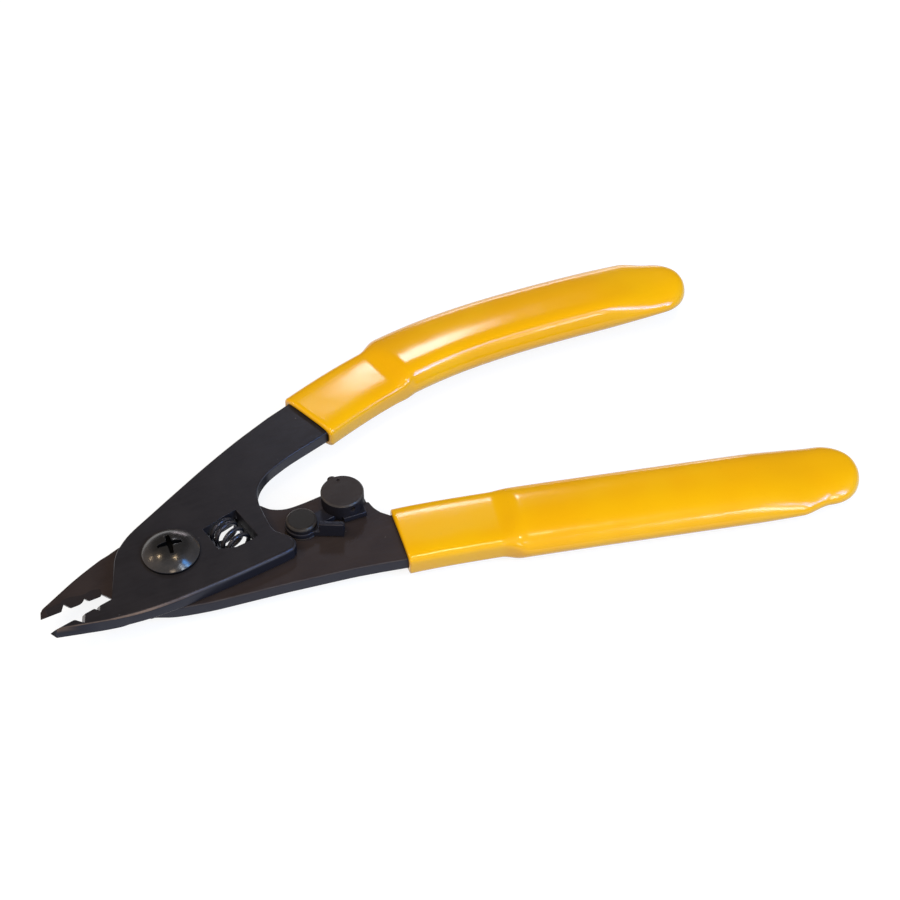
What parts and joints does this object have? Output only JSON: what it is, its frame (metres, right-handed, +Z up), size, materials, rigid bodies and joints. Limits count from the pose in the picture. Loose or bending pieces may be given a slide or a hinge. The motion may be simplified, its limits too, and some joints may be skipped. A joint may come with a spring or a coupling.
{
  "type": "fibre stripper",
  "caption": "Hand tool of crossed steel levers with notched stripping jaws, a return spring, a thumb latch and padded vinyl grips.",
  "frame": {"origin": "on the pivot axis, in the plane that the tool rests on (the back of the pivot nut and screw end)", "axes": "+X runs between the two handles, from the pivot towards the handle ends, with the jaws at -X; +Y towards the bowed front handle; +Z up, out of the screw head's side"},
  "size_m": [0.136, 0.0674, 0.0095],
  "materials": {
    "black_steel_front": "black oxide, satin",
    "black_steel_rear": "black oxide, satin",
    "yellow_vinyl": "glossy dipped vinyl",
    "grip_foam": "soft foamed vinyl",
    "dark_screw": "black oxide, polished",
    "plated_washer": "zinc plated",
    "dark_nut": "black oxide",
    "spring_wire": "black oxide, drawn wire",
    "bronze_washer": "phosphor bronze",
    "black_latch": "black oxide",
    "dark_rivet": "black oxide, worn",
    "black_knob": "black oxide"
  },
  "bodies": {
    "rear": {"rear_lever": "black_steel_rear", "rear_grip_cushion": "grip_foam", "rear_grip_skin": "yellow_vinyl", "pivot_screw": "dark_screw", "pivot_washer": "plated_washer", "pivot_nut": "dark_nut", "latch_washer": "bronze_washer", "latch_rivet": "dark_rivet"},
    "front": {"front_lever": "black_steel_front", "front_grip_cushion": "grip_foam", "front_grip_skin": "yellow_vinyl", "return_spring": "spring_wire"},
    "latch": {"latch_lever": "black_latch", "latch_knob": "black_knob", "knob_stud": "plated_washer"}
  },
  "joints": [
    {"name": "handle_hinge", "type": "hinge", "parent": "rear", "child": "front", "pos_m": [0, 0, 0.0046], "axis": [0, 0, 1], "range_deg": [-9.6, 0], "stiffness_Nm_per_rad": 0.3, "springref_deg": 11.46, "deforming": ["return_spring"]},
    {"name": "latch_hinge", "type": "hinge", "parent": "rear", "child": "latch", "pos_m": [0.02174, -0.00159, 0.0049], "axis": [0, 0, 1], "range_deg": [-65, 0]}
  ]
}
